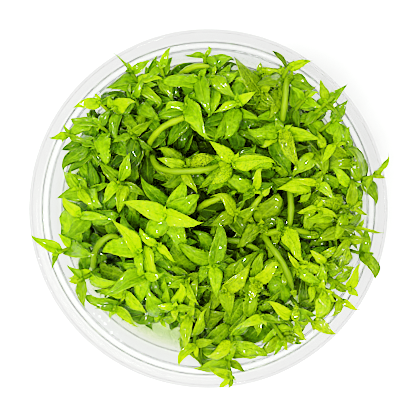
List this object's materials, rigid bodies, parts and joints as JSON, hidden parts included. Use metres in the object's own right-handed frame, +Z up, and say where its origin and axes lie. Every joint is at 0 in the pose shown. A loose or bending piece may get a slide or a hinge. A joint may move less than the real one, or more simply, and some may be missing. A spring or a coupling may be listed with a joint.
{
  "type": "tissue-cultured plantlets in a culture cup",
  "caption": "Clear round culture cup, open at the top, full of bright green leafy stem plantlets that stand in nutrient gel.",
  "frame": {"origin": "centre of the cup's foot, on the surface that it stands on", "axes": "+Z up along the cup's axis, +X to the picture's right, +Y to its top"},
  "size_m": [0.1, 0.1, 0.0705],
  "materials": {
    "clear_plastic": "gloss",
    "nutrient_gel": "gloss",
    "leaf_green": "satin"
  },
  "bodies": {
    "root": {"cup": "clear_plastic", "nutrient_gel": "nutrient_gel", "shoot_01": "leaf_green", "shoot_02": "leaf_green", "shoot_03": "leaf_green", "shoot_04": "leaf_green", "shoot_05": "leaf_green", "shoot_06": "leaf_green", "shoot_07": "leaf_green", "shoot_08": "leaf_green", "shoot_09": "leaf_green", "shoot_10": "leaf_green", "shoot_11": "leaf_green", "shoot_12": "leaf_green", "shoot_13": "leaf_green", "shoot_14": "leaf_green", "shoot_15": "leaf_green", "shoot_16": "leaf_green", "shoot_17": "leaf_green", "shoot_18": "leaf_green", "shoot_19": "leaf_green", "shoot_20": "leaf_green", "shoot_21": "leaf_green", "shoot_22": "leaf_green", "shoot_23": "leaf_green", "shoot_24": "leaf_green", "shoot_25": "leaf_green", "shoot_26": "leaf_green", "shoot_27": "leaf_green", "shoot_28": "leaf_green", "shoot_29": "leaf_green", "shoot_30": "leaf_green", "shoot_31": "leaf_green", "shoot_32": "leaf_green", "shoot_33": "leaf_green", "shoot_34": "leaf_green", "shoot_35": "leaf_green", "shoot_36": "leaf_green", "shoot_37": "leaf_green", "shoot_38": "leaf_green", "shoot_39": "leaf_green", "shoot_40": "leaf_green", "shoot_41": "leaf_green", "shoot_42": "leaf_green", "shoot_43": "leaf_green", "shoot_44": "leaf_green", "shoot_45": "leaf_green", "shoot_46": "leaf_green", "shoot_47": "leaf_green", "shoot_48": "leaf_green", "shoot_49": "leaf_green", "shoot_50": "leaf_green", "shoot_51": "leaf_green", "shoot_52": "leaf_green", "shoot_53": "leaf_green", "shoot_54": "leaf_green", "shoot_55": "leaf_green", "shoot_56": "leaf_green", "shoot_57": "leaf_green", "shoot_58": "leaf_green"}
  },
  "joints": []
}
